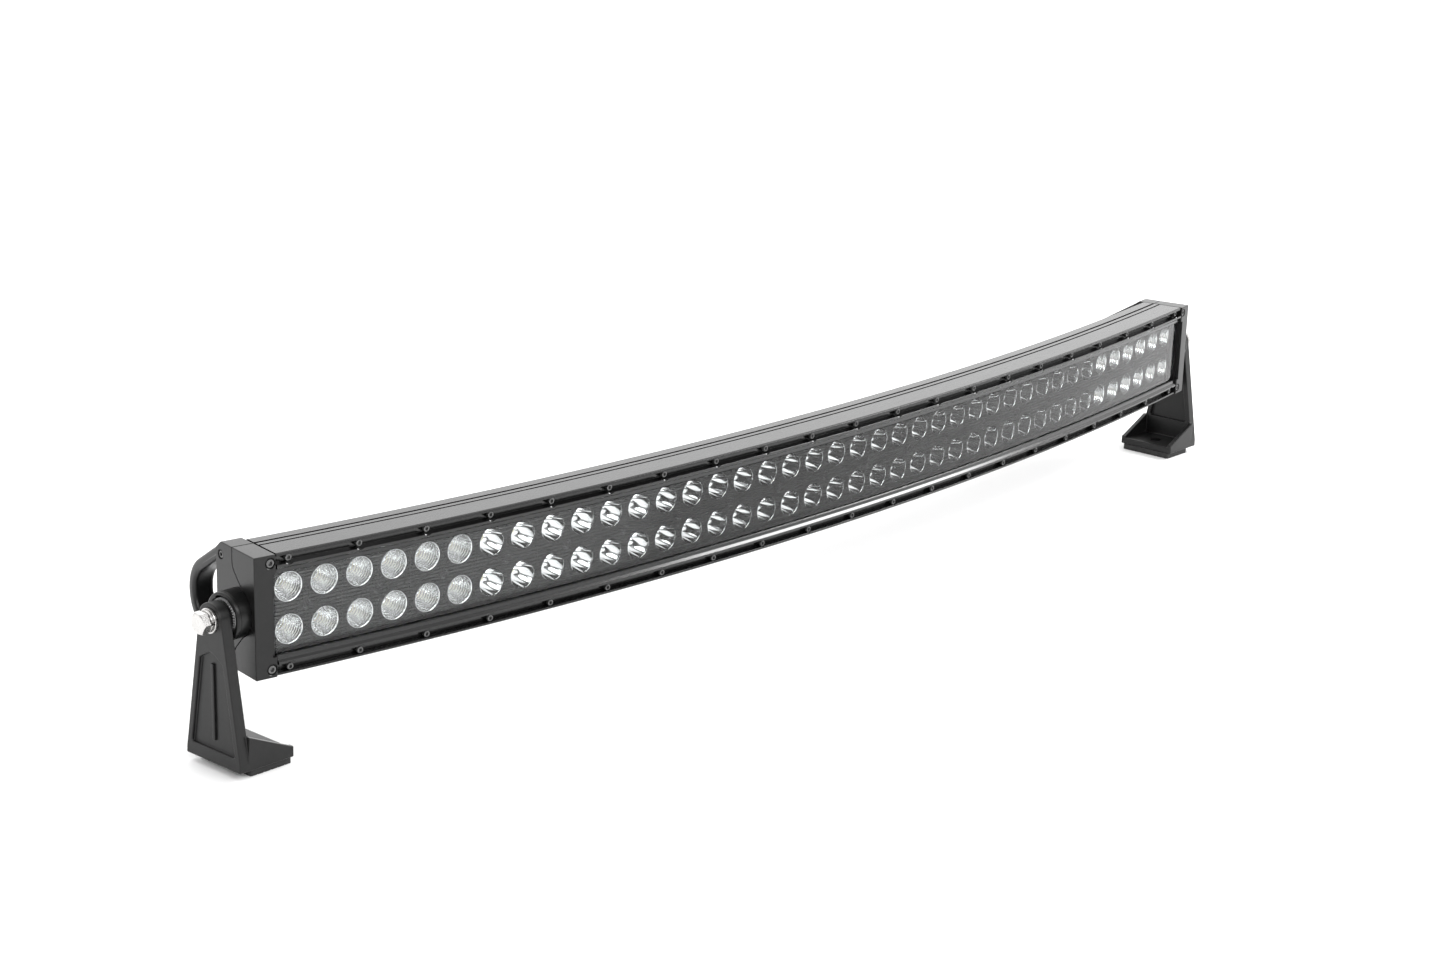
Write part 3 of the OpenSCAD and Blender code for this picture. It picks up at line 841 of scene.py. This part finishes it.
def loop_path():
    """Middle line of the rear loop, from inside the guard's upper part round to its lower part."""
    half = LOOP_BAR / 2
    ends = []
    for corner, turn in (((GUARD_TOP_BACK, HALF_H - 0.3), 1), ((GUARD_LOW_BACK, 0.3 - HALF_H), -1)):
        angle = tangent_angle(corner, LOOP_C, LOOP_R, turn)
        ends.append((corner[0] - half * math.cos(angle), corner[1] - half * math.sin(angle)))
    top_root, low_root = (-25.0, 35.2), (-29.0, -35.2)
    return [top_root, *round_back(LOOP_R - half, *ends, 40), low_root]


def loop_tube(side):
    """Rounded bar of the rear loop, square to its path."""
    path = loop_path()
    half_s, half_w = (CAP_END - CAP_START) / 2, LOOP_BAR / 2
    section = rounded(box_outline(-half_w, half_w, -half_s, half_s), 3.2, parts=6)
    rings = []
    for i, place in enumerate(path):
        before, after = path[max(i - 1, 0)], path[min(i + 1, len(path) - 1)]
        along = np.subtract(after, before) / math.dist(after, before)
        rings += [(place[0] - along[1] * u, place[1] + along[0] * u, CAP_START + half_s + v)
                  for u, v in section]
    return onto_curve(solid("loop", rings, skin(len(path), len(section))), side)


def hub(side):
    """Round boss on the tilt axis with a rim, a fine line round it and a pocket for the insert."""
    root, floor = CAP_START + 1.4, HUB_FACE - 7
    rings = [(HUB_R, root), (HUB_R, HUB_FACE - 3.0), (HUB_R - 0.3, HUB_FACE - 2.8),
             (HUB_R - 0.3, HUB_FACE - 2.5), (HUB_R, HUB_FACE - 2.3), (HUB_R, HUB_FACE - 1.1),
             (HUB_R - 0.35, HUB_FACE - 0.4), (HUB_R - 1.0, HUB_FACE), (12.7, HUB_FACE),
             (12.2, HUB_FACE - 0.5), (12.2, floor), (4.3, floor), (4.3, floor - 8)]
    barrel = lathe("hub", rings, 96)
    for quarter in range(4):
        turns = np.radians(90 * quarter + np.linspace(-27, 27, 12))
        arc = [(r * math.cos(a), r * math.sin(a)) for r, a in
               [(11.5, a) for a in turns] + [(13.5, a) for a in reversed(turns)]]
        carve(barrel, prism("arc_gap", arc, HUB_FACE - 4, HUB_FACE + 2))
    return put(barrel, pivot(side))


def end_guard(side, word, material):
    """Rear casting: a flat plate, the loop, the hub and the pockets of the side screws."""
    outline = [*reversed(seam(0.2)), (GUARD_TOP_BACK, HALF_H, 3), (-38.0, 34.6, 1),
               (-38.0, -38.7, 1), (-36.9, -HALF_H, 1)]
    block = prism(f"{word}_rear_casting", rounded(outline, parts=5), CAP_START, CAP_END)
    soften(block, 0.6, 3)
    onto_curve(block, side)
    weld(block, loop_tube(side))
    for tongue in seam_steps("tongue", CAP_START):
        weld(block, onto_curve(soften(tongue, 0.4), side))
    weld(block, hub(side))
    carve(block, scatter(screw_recess("recess", 3.0, 2.2, 7), side_screw_places(side)))
    dress(block, material, "bar", "black_casting", f"{word}_end_guard")


def end_screws(material):
    rng = random.Random(SEED + 5)
    front = socket_screw("corner_cap_screws", head_r=2.7, head_h=2.2, shank_r=1.25, shank_len=9)
    rear = socket_screw("side_cap_screws", head_r=2.4, head_h=2.2, shank_r=1.4, shank_len=23)
    fronts = [turned(p, rng) for side, _ in SIDES for p in corner_screw_places(side)]
    rears = [turned(p, rng) for side, _ in SIDES for p in side_screw_places(side)]
    dress(scatter(front, fronts), material, "bar", "black_screw", "end_cap_screws")
    dress(scatter(rear, rears), material, "bar", "black_screw", "end_guard_screws")


def tooth_wave(sign):
    """Tooth height at each side of a ring, four sides to a tooth, from a crest (1) or a gap (-1)."""
    return TOOTH_H / 2 * (1 + sign * np.cos(np.arange(4 * TEETH) * 2 * math.pi / 4))


def hub_insert(side, word, material):
    """Disc with a ring of radial teeth round the bolt's hole."""
    wave = tooth_wave(-1)
    top, floor = HUB_FACE - 0.5, HUB_FACE - 6.9
    rings = [(12.0, floor), (12.0, top - 0.3), (11.7, top), (11.4, top), (11.2, top + 0.3 * wave),
             (10.9, top + wave), (6.2, top + wave * 0.9), (6.0, top), (4.6, top), (4.05, top - 0.5),
             (4.05, floor)]
    disc = put(lathe(f"{word}_serrated_insert", rings, 4 * TEETH, closed=True), pivot(side))
    dress(disc, material, "bar", "serrated_insert", f"{word}_hub_insert", smooth=25)


# ---- back fittings ---------------------------------------------------------------------------

def gland(material):
    """Cable gland: a hexagon, a ribbed nut with a domed end and a round bore."""
    sides = 96
    ribs = 0.25 * np.maximum(0, np.cos(16 * full_turn(sides)))
    hexagon = polygon_radii(8.1, 6, sides)
    rings = [(4.4, 0.3), (5.4, 0), (6.3, 0.4), (7.0 + ribs, 2.2), (7.25 + ribs, 3.2), (7.25 + ribs, 7.2),
             (7.0, 7.7), (6.6, 7.9), (6.6, 8.2), (7.8, 8.3), (hexagon, 9.0), (hexagon, 13.4), (7.8, 14.0),
             (8.4, 14.2), (8.5, 14.6), (8.5, 17.6), (8.2, 17.9), (3.3, 17.9), (3.3, 1.0)]
    piece = put(lathe("gland_body", rings, sides, closed=True), facing(OUTLET_S, 0, WALL_BACK - 18))
    dress(piece, material, "bar", "black_nylon", "cable_gland")


def vent(material):
    """Breather vent: a low hexagon under a slotted round cap."""
    sides = 96
    slots = -0.7 * (np.cos(12 * full_turn(sides)) > 0.55)
    hexagon = polygon_radii(6.5, 6, sides)
    rings = [(2.2, 0.5), (3.4, 0.1), (5.8, 0), (6.5, 0.25), (6.95, 0.9), (6.95 + slots, 1.3),
             (6.95 + slots, 3.3), (6.6, 3.7), (hexagon - 0.2, 3.9), (hexagon, 4.3), (hexagon, 5.9)]
    piece = put(lathe("vent_body", rings, sides), facing(-OUTLET_S, 0, WALL_BACK - 6))
    dress(piece, material, "bar", "black_nylon", "breather_vent")


# ---- brackets and their fasteners ------------------------------------------------------------

def arm_outline(inset, low, high):
    """Arm seen along the tilt axis, as (y, z) points between two heights of its lower end."""
    half, radius = BASE_W / 2 - inset, HEAD_R - inset
    first = tangent_angle((half, high), (0, AXIS_H), radius, 1)
    turns = np.linspace(first, math.pi - first, 40)
    head = [(radius * math.cos(a), AXIS_H + radius * math.sin(a)) for a in turns]
    return [(-half, low), (half, low), (half, high), *head, (-half, high)]


def recess_outline(inset, top, low):
    """Panel inside the arm, with a slanted top."""
    edge = arm_outline(inset, low, PAD_T + PLATE_T)
    shoulder = top - 6
    width = np.interp([low, shoulder], [PAD_T + PLATE_T, AXIS_H], [edge[1][0], edge[3][0]])
    corners = [(-width[0], low, 2), (width[0], low, 2), (width[1], shoulder, 2.5), (0, top, 6),
               (-width[1], shoulder, 2.5)]
    return rounded(corners, parts=5)


def bracket(side, word, material):
    """Cast arm with a recessed panel on each face, a foot plate, two gussets and a toothed head."""
    foot_top, gusset = PAD_T + PLATE_T, PAD_T + 22
    arm = prism(f"{word}_cast_bracket", arm_outline(0, PAD_T, foot_top), ARM_IN, ARM_OUT)
    half = BASE_W / 2
    foot = [(FOOT_TIP, PAD_T), (ARM_IN + 1, PAD_T), (ARM_IN + 1, foot_top), (FOOT_TIP, foot_top)]
    web = [(FOOT_TIP, PAD_T), (ARM_IN + 1, PAD_T), (ARM_IN + 1, gusset), (ARM_IN, gusset),
           (FOOT_TIP + 2, foot_top + 2), (FOOT_TIP, foot_top + 1.6)]
    plates = [(foot, -half, half), (web, -half, 4 - half), (web, half - 4, half)]
    across(arm, side)
    for outline, low, high in plates:
        plate = prism("plate", outline, low, high)
        weld(arm, remap(plate, lambda p: np.stack([side * p[:, 0], p[:, 2], p[:, 1]], axis=1)))
    inner, outer = recess_outline(4.5, top=76, low=27), recess_outline(4.5, top=78, low=14)
    carve(arm, across(prism("inner_panel", inner, ARM_IN - 1, ARM_IN + 3), side))
    carve(arm, across(prism("outer_panel", outer, ARM_OUT - 2, ARM_OUT + 1), side))
    soften(arm, 0.75, 3)
    rib = box_outline(-1.3, 1.3, 20, 70)
    weld(arm, across(soften(prism("middle_rib", rib, ARM_OUT - 2.5, ARM_OUT - 0.6), 0.5), side))
    carve(arm, put(prism("bolt_hole", circle(4.1, 48), ARM_IN - 5, ARM_OUT + 5), pivot(side)))
    hole = prism("foot_hole", circle(FOOT_HOLE_R, 48), PAD_T - 1, foot_top + 1)
    carve(arm, put(hole, Matrix.Translation((side * (ARM_IN - 18) * MM, 0, 0))))
    weld(arm, tooth_ring(side))
    dress(arm, material, "mount", "black_bracket", f"{word}_bracket")


def tooth_ring(side):
    """Teeth on the bracket's head, which stand just clear of those of the hub insert."""
    wave = tooth_wave(1)
    rings = [(10.6, 0.5), (10.6, 0), (10.4, -wave), (6.2, -wave), (6.0, 0), (6.0, 0.5)]
    return put(lathe("teeth", rings, 4 * TEETH, closed=True), pivot(side, ARM_IN))


def foot_pad(side, word, material):
    """Rubber pad with soft edges and a grid of grip blocks underneath."""
    low_x, high_x = (v.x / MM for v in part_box("right_foot_pad"))
    half_y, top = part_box("right_foot_pad")[1].y / MM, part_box("right_foot_pad")[1].z / MM
    columns, rows_each_way, half_w = 6, 4, 0.5
    pad = prism(f"{word}_rubber_pad", rounded(box_outline(low_x, high_x, -half_y, half_y), 1.6), 0, top)
    soften(pad, 0.35)
    for k in range(1, columns):
        x = low_x + k * (high_x - low_x) / columns
        carve(pad, prism("groove", box_outline(x - half_w, x + half_w, -half_y - 1, half_y + 1), -1, 1))
    for k in range(1, 2 * rows_each_way):
        y = -half_y + k * half_y / rows_each_way
        carve(pad, prism("groove", box_outline(low_x - 1, high_x + 1, y - half_w, y + half_w), -1, 1))
    middle = ((low_x + high_x) / 2, 0)
    carve(pad, prism("hole", circle(FOOT_HOLE_R, 48, middle), -1, top + 1))
    remap(pad, lambda p: p * np.array([side, 1, 1]))
    dress(pad, material, "mount", "rubber_pad", f"{word}_foot_pad")


def pivot_bolt(side, word, material):
    """Hexagon bolt with a washer face, a chamfered head and a dished top."""
    sides, thread_r, face_r, head_h = 96, 4.0, 6.1, 5.3
    hexagon = polygon_radii(6.5, 6, sides)
    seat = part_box("right_pivot_bolt")[1].x / MM - head_h
    chamfer = head_h - (hexagon - face_r) * math.tan(math.radians(30))
    rings = [(3.1, -25.2), (thread_r, -24.3), (thread_r, 0), (face_r, 0), (6.2, 0.4), (hexagon, 0.55),
             (hexagon, chamfer), (face_r, head_h), (5.0, head_h), (4.6, 5.1), (1.0, 5.05)]
    bolt = put(lathe(f"{word}_hex_bolt", rings, sides), pivot(side, seat))
    dress(bolt, material, "bar", "stainless_steel", f"{word}_pivot_bolt")


def spring_washer(side, word, material):
    """Split ring whose cut ends stand slightly apart."""
    low, high = (v.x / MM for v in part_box("right_spring_washer"))
    section = rounded(box_outline(4.2, 7.2, 0.05, high - low - 0.15), 0.3, parts=2)
    stations, start, sweep_angle, rise = 80, 10, 343, 0.1
    rings = []
    for share in np.linspace(0, 1, stations):
        a = math.radians(start + sweep_angle * share)
        rings += [(r * math.cos(a), r * math.sin(a), z + rise * (share - 0.5)) for r, z in section]
    ring = solid(f"{word}_split_washer", rings, skin(stations, len(section)))
    put(ring, pivot(side, low))
    dress(ring, material, "bar", "stainless_steel", f"{word}_spring_washer")


def flat_washer(side, word, material):
    low, high = (v.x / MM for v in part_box("right_flat_washer"))
    thick = high - low
    rings = [(4.2, 0.15), (4.35, 0), (7.8, 0), (8.0, 0.2), (8.0, thick - 0.25), (7.75, thick), (4.35, thick),
             (4.2, thick - 0.15)]
    ring = put(lathe(f"{word}_plain_washer", rings, 96, closed=True), pivot(side, low))
    dress(ring, material, "bar", "stainless_steel", f"{word}_flat_washer")


# ---- parts carried over from the CAD model ---------------------------------------------------

def repaint(material, *nodes):
    """Gives CAD nodes that are shown as they are a material of this scene."""
    for node in nodes:
        mesh = frame["nodes"][node].data
        mesh.materials.clear()
        mesh.materials.append(material)


# ---- floor, light and camera -----------------------------------------------------------------

def floor():
    """Plain pale floor, far wider than the view."""
    half = 9.0
    mesh = bpy.data.meshes.new("floor")
    corners = [(-half, -half, 0), (half, -half, 0), (half, half, 0), (-half, half, 0)]
    mesh.from_pydata(corners, [], [(0, 1, 2, 3)])
    ground = new_object("floor", mesh)
    mesh.materials.append(surface("floor_paper", grey(0.90), grey(0.92), rough=(0.75, 0.85),
                                  grain=30, height=0.02, patches=3, specular=0.1))


def area_light(name, place, size, power):
    """Soft box that faces the bar and isn't seen itself."""
    lamp = bpy.data.lights.new(name, "AREA")
    lamp.shape = "RECTANGLE"
    lamp.size, lamp.size_y = size
    lamp.energy = power
    light = new_object(name, lamp)
    light.location = place
    light.rotation_euler = (Vector((0, 0, 0.1)) - Vector(place)).to_track_quat("-Z", "Y").to_euler()
    light.visible_camera = False


def surroundings():
    """Pale surroundings, brightest behind the bar on the right and above, and dim at the left front."""
    world = bpy.data.worlds.new("studio")
    bpy.context.scene.world = world
    world.use_nodes = True
    tree = world.node_tree
    place = add_node(tree, "ShaderNodeTexCoord")
    lean = add_node(tree, "ShaderNodeVectorMath", {"operation": "DOT_PRODUCT"})
    lean.inputs[1].default_value = (0.62, 0.68, 0.38)
    level = add_node(tree, "ShaderNodeMapRange", From_Min=0.0, From_Max=0.95, To_Min=0.35, To_Max=2.2)
    tree.links.new(place.outputs["Generated"], lean.inputs[0])
    tree.links.new(lean.outputs["Value"], level.inputs["Value"])
    tree.links.new(level.outputs["Result"], tree.nodes["Background"].inputs["Strength"])
    tree.nodes["Background"].inputs["Color"].default_value = (1, 1, 1, 1)


def studio():
    """Surroundings and five soft boxes, in metres and watts."""
    surroundings()
    area_light("top_box", place=(0.3, 0.6, 3.0), size=(4.0, 3.0), power=14)
    area_light("back_left_box", place=(-2.6, 1.6, 1.4), size=(1.6, 1.2), power=16)
    area_light("right_box", place=(2.3, -0.9, 1.9), size=(1.6, 0.8), power=75)
    area_light("key_box", place=(-0.3, -2.6, 1.9), size=(2.8, 1.3), power=60)
    area_light("camera_box", place=(-2.5, -1.5, 1.5), size=(1.6, 1.2), power=30)
    bpy.context.scene.view_settings.view_transform = "Standard"


def camera():
    """View from the left front, slightly above, from a place in metres."""
    place, lens_mm = (-1.48148, -1.21766, 0.63800), 65.75
    yaw, pitch, roll = (math.radians(a) for a in (49.075, 16.408, 1.743))
    ahead = Vector((math.sin(yaw) * math.cos(pitch), math.cos(yaw) * math.cos(pitch), -math.sin(pitch)))
    level = Vector((math.cos(yaw), -math.sin(yaw), 0))
    rise = level.cross(ahead)
    right = math.cos(roll) * level + math.sin(roll) * rise
    data = bpy.data.cameras.new("camera")
    data.lens = lens_mm
    data.sensor_width = 36
    data.clip_end = 50
    view = new_object("camera", data)
    view.matrix_world = matrix_of(right, right.cross(ahead), -ahead, Vector(place) / MM)
    bpy.context.scene.camera = view


# ---- the light bar ---------------------------------------------------------------------------

def build_front(screw_finish):
    """Extrusion, rails, lamps and lens."""
    rail_finish = extrusion("black_rail_finish", rough=(0.14, 0.22), height=0.006, specular=0.5)
    housing(extrusion("black_anodised", rough=(0.22, 0.30), height=0.012, specular=0.35))
    for row, word in ((1, "upper"), (-1, "lower")):
        rail(f"{word}_rail", row, rail_finish)
        rail_screws(f"{word}_rail_screws", row, screw_finish)
    modules(face_plastic(), chrome("chrome_mirror", (0.03, 0.07), 0.002),
            chrome("chrome_satin", (0.10, 0.16), 0.003))
    module_screws(black_oxide("dark_oxide", 0.03))
    emitters(led_ceramic(), led_dome())
    lens(clear_plastic("clear_outside", True), clear_plastic("clear_inside", False))


def build_ends(screw_finish):
    """Castings, inserts, brackets, pads and fasteners of both ends."""
    steel = stainless()
    alloy = zinc_insert()
    casting = powder_coat("powder_coat_casting", 0.004)
    bracket_finish = powder_coat("powder_coat_bracket", 0.005)
    pad_rubber = rubber()
    for side, word in SIDES:
        end_cap(side, word, casting)
        end_guard(side, word, casting)
        hub_insert(side, word, alloy)
        bracket(side, word, bracket_finish)
        foot_pad(side, word, pad_rubber)
        pivot_bolt(side, word, steel)
        spring_washer(side, word, steel)
        flat_washer(side, word, steel)
    end_screws(screw_finish)


def build():
    """Every piece of the light bar, in its place at rest."""
    screw_finish = black_oxide("black_oxide", 0.09)
    fitting_nylon = nylon()
    build_front(screw_finish)
    build_ends(screw_finish)
    gland(fitting_nylon)
    vent(fitting_nylon)
    repaint(board_mask(), "led_boards")
    repaint(wire_sheath(), "supply_wires")
    repaint(silicone(), "lens_gasket", "left_end_gasket", "right_end_gasket")


camera()
build()
floor()
studio()
